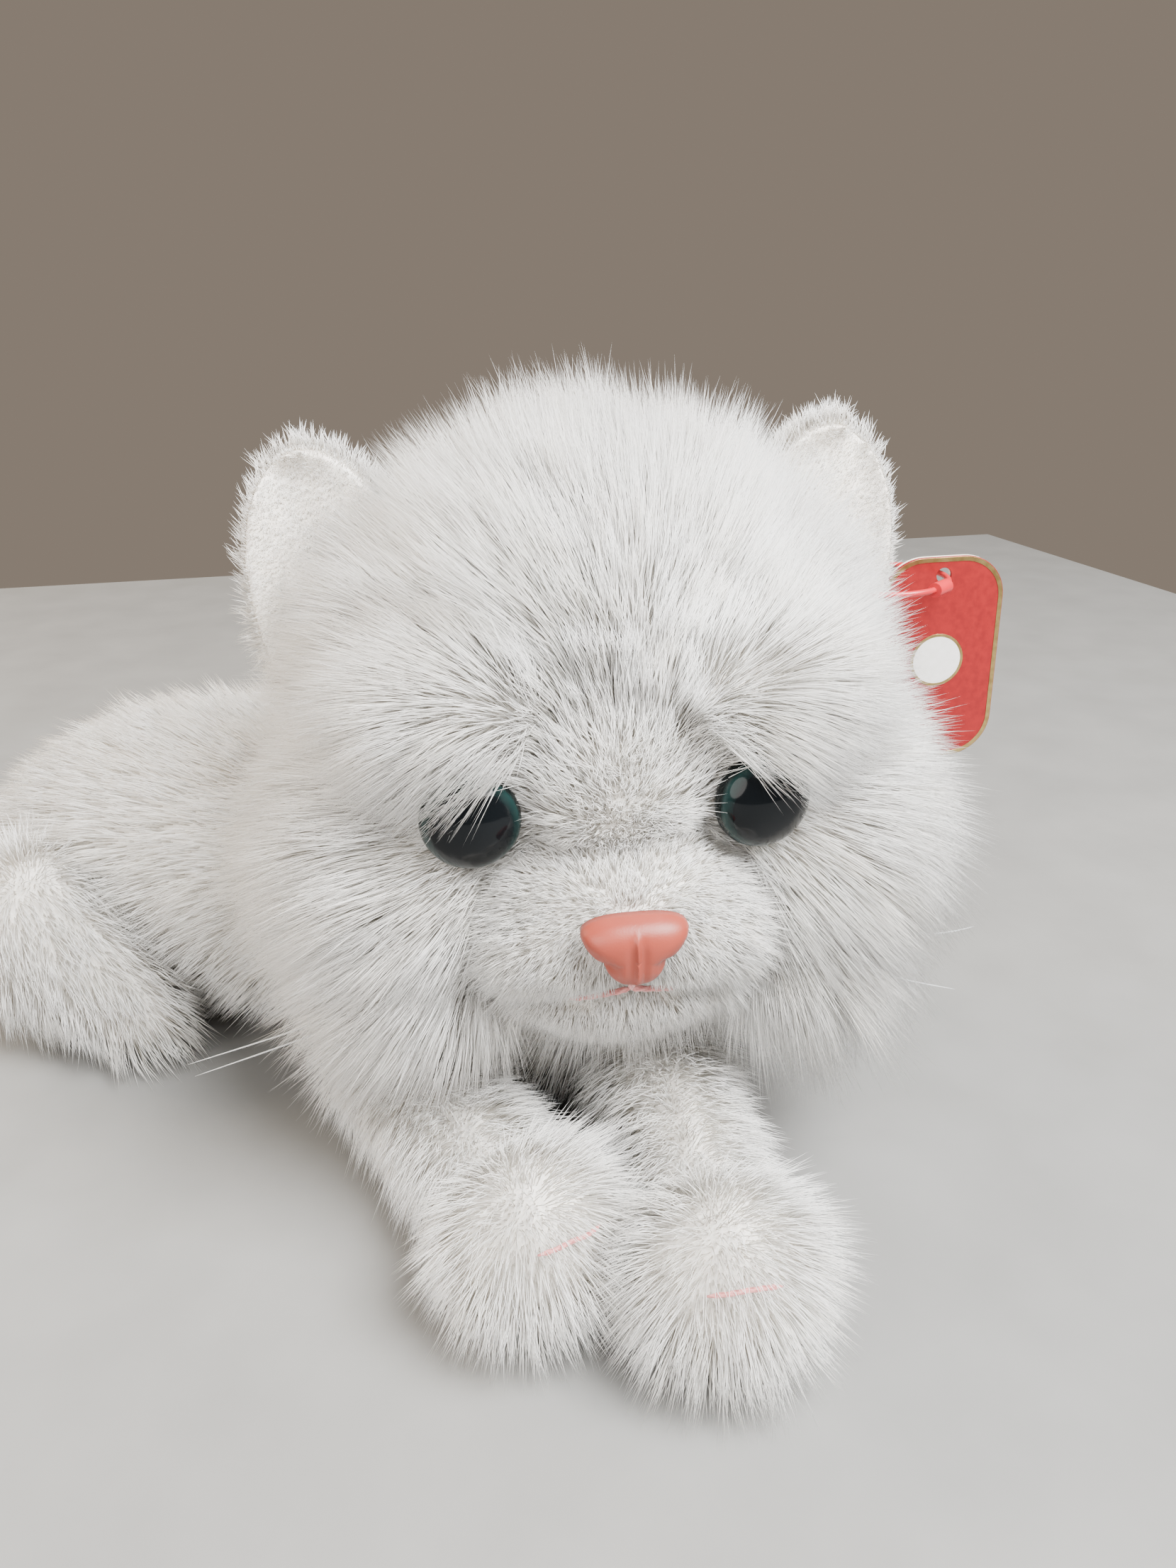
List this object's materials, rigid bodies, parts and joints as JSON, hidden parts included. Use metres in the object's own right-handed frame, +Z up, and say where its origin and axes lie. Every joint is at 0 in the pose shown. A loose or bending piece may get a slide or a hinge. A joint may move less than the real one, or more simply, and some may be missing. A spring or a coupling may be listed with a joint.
{
  "type": "plush cat",
  "caption": "Long-haired white plush cat lying down with its head raised, safety eyes, a moulded nose, upright ears, filament whiskers and a card hang tag at one ear.",
  "frame": {"origin": "the flat of the belly where the cat rests, under the middle of its torso", "axes": "+Z up; the face and front paws point towards -Y; +X is the cat's left as its face sees it"},
  "size_m": [0.2648, 0.3071, 0.157],
  "materials": {
    "long_pile": "long white pile",
    "short_pile": "short white pile",
    "ear_velour": "smooth white velour",
    "fibre_fill": "loose polyester fibre",
    "thread": "pink stitching thread",
    "clear_plastic": "clear moulded plastic",
    "iris_plastic": "dark teal",
    "black_plastic": "gloss black",
    "washer_plastic": "plain",
    "nose_plastic": "satin coral",
    "whisker_plastic": "clear filament",
    "red_plastic": "red",
    "red_card": "glossy printed card",
    "plain_card": "plain card"
  },
  "bodies": {
    "torso": {"back_panel_left": "long_pile", "back_panel_right": "long_pile", "belly_panel": "long_pile", "torso_filling": "fibre_fill"},
    "neck": {"neck_ball": "long_pile"},
    "head": {"crown_panel": "long_pile", "cheek_panel_left": "long_pile", "cheek_panel_right": "long_pile", "muzzle_panel": "short_pile", "chin_panel": "long_pile", "head_filling": "fibre_fill", "eye_left_lens": "clear_plastic", "eye_left_iris": "iris_plastic", "eye_left_post": "black_plastic", "eye_left_washer": "washer_plastic", "eye_right_lens": "clear_plastic", "eye_right_iris": "iris_plastic", "eye_right_post": "black_plastic", "eye_right_washer": "washer_plastic", "nose": "nose_plastic", "nose_washer": "washer_plastic", "mouth_stitch": "thread", "whiskers_left": "whisker_plastic", "whiskers_right": "whisker_plastic", "tag_fastener": "red_plastic"},
    "ear_left": {"ear_left_back": "short_pile", "ear_left_lining": "ear_velour"},
    "ear_right": {"ear_right_back": "short_pile", "ear_right_lining": "ear_velour"},
    "tag": {"tag_front": "red_card", "tag_back": "plain_card"},
    "front_leg_left": {"front_leg_left_upper": "long_pile", "front_leg_left_sole": "short_pile", "front_leg_left_filling": "fibre_fill", "paw_stitch_left": "thread"},
    "front_leg_right": {"front_leg_right_upper": "long_pile", "front_leg_right_sole": "short_pile", "front_leg_right_filling": "fibre_fill", "paw_stitch_right": "thread"},
    "hind_leg_left": {"hind_leg_left_upper": "long_pile", "hind_leg_left_sole": "short_pile", "hind_leg_left_filling": "fibre_fill"},
    "hind_leg_right": {"hind_leg_right_upper": "long_pile", "hind_leg_right_sole": "short_pile", "hind_leg_right_filling": "fibre_fill"},
    "tail": {"tail_upper": "long_pile", "tail_under": "long_pile", "tail_filling": "fibre_fill"}
  },
  "joints": [
    {"name": "neck_turn", "type": "hinge", "parent": "torso", "child": "neck", "pos_m": [0.05172, -0.02513, 0.0655], "axis": [0, 0, 1], "range_deg": [-20, 20], "stiffness_Nm_per_rad": 0.8},
    {"name": "head_nod", "type": "hinge", "parent": "neck", "child": "head", "pos_m": [0.05172, -0.02513, 0.0655], "axis": [0.9903, -0.1392, 0], "range_deg": [-15, 3], "stiffness_Nm_per_rad": 2},
    {"name": "ear_left_fold", "type": "hinge", "parent": "head", "child": "ear_left", "pos_m": [0.09565, -0.05208, 0.11902], "axis": [-0.8011, 0.1126, 0.5878], "range_deg": [0, 30], "stiffness_Nm_per_rad": 0.05},
    {"name": "ear_right_fold", "type": "hinge", "parent": "head", "child": "ear_right", "pos_m": [0.00016, -0.03866, 0.11565], "axis": [-0.7586, 0.1066, -0.6428], "range_deg": [0, 30], "stiffness_Nm_per_rad": 0.05},
    {"name": "tag_swing", "type": "hinge", "parent": "head", "child": "tag", "pos_m": [0.1299, -0.05096, 0.11958], "axis": [-0.1392, -0.9903, 0], "range_deg": [0, 60]},
    {"name": "front_leg_left_swing", "type": "hinge", "parent": "torso", "child": "front_leg_left", "pos_m": [0.05966, -0.06506, 0.016], "axis": [0, 0, 1], "range_deg": [0, 40]},
    {"name": "front_leg_right_swing", "type": "hinge", "parent": "torso", "child": "front_leg_right", "pos_m": [0.00202, -0.05012, 0.016], "axis": [0, 0, -1], "range_deg": [0, 40]},
    {"name": "hind_leg_left_swing", "type": "hinge", "parent": "torso", "child": "hind_leg_left", "pos_m": [-0.03579, 0.06813, 0.026], "axis": [0, 0, 1], "range_deg": [0, 30]},
    {"name": "hind_leg_right_swing", "type": "hinge", "parent": "torso", "child": "hind_leg_right", "pos_m": [-0.07627, 0.01033, 0.026], "axis": [0, 0, -1], "range_deg": [0, 30]},
    {"name": "tail_swing", "type": "hinge", "parent": "torso", "child": "tail", "pos_m": [-0.08716, 0.06103, 0.011], "axis": [0, 0, 1], "range_deg": [-15, 35]}
  ]
}
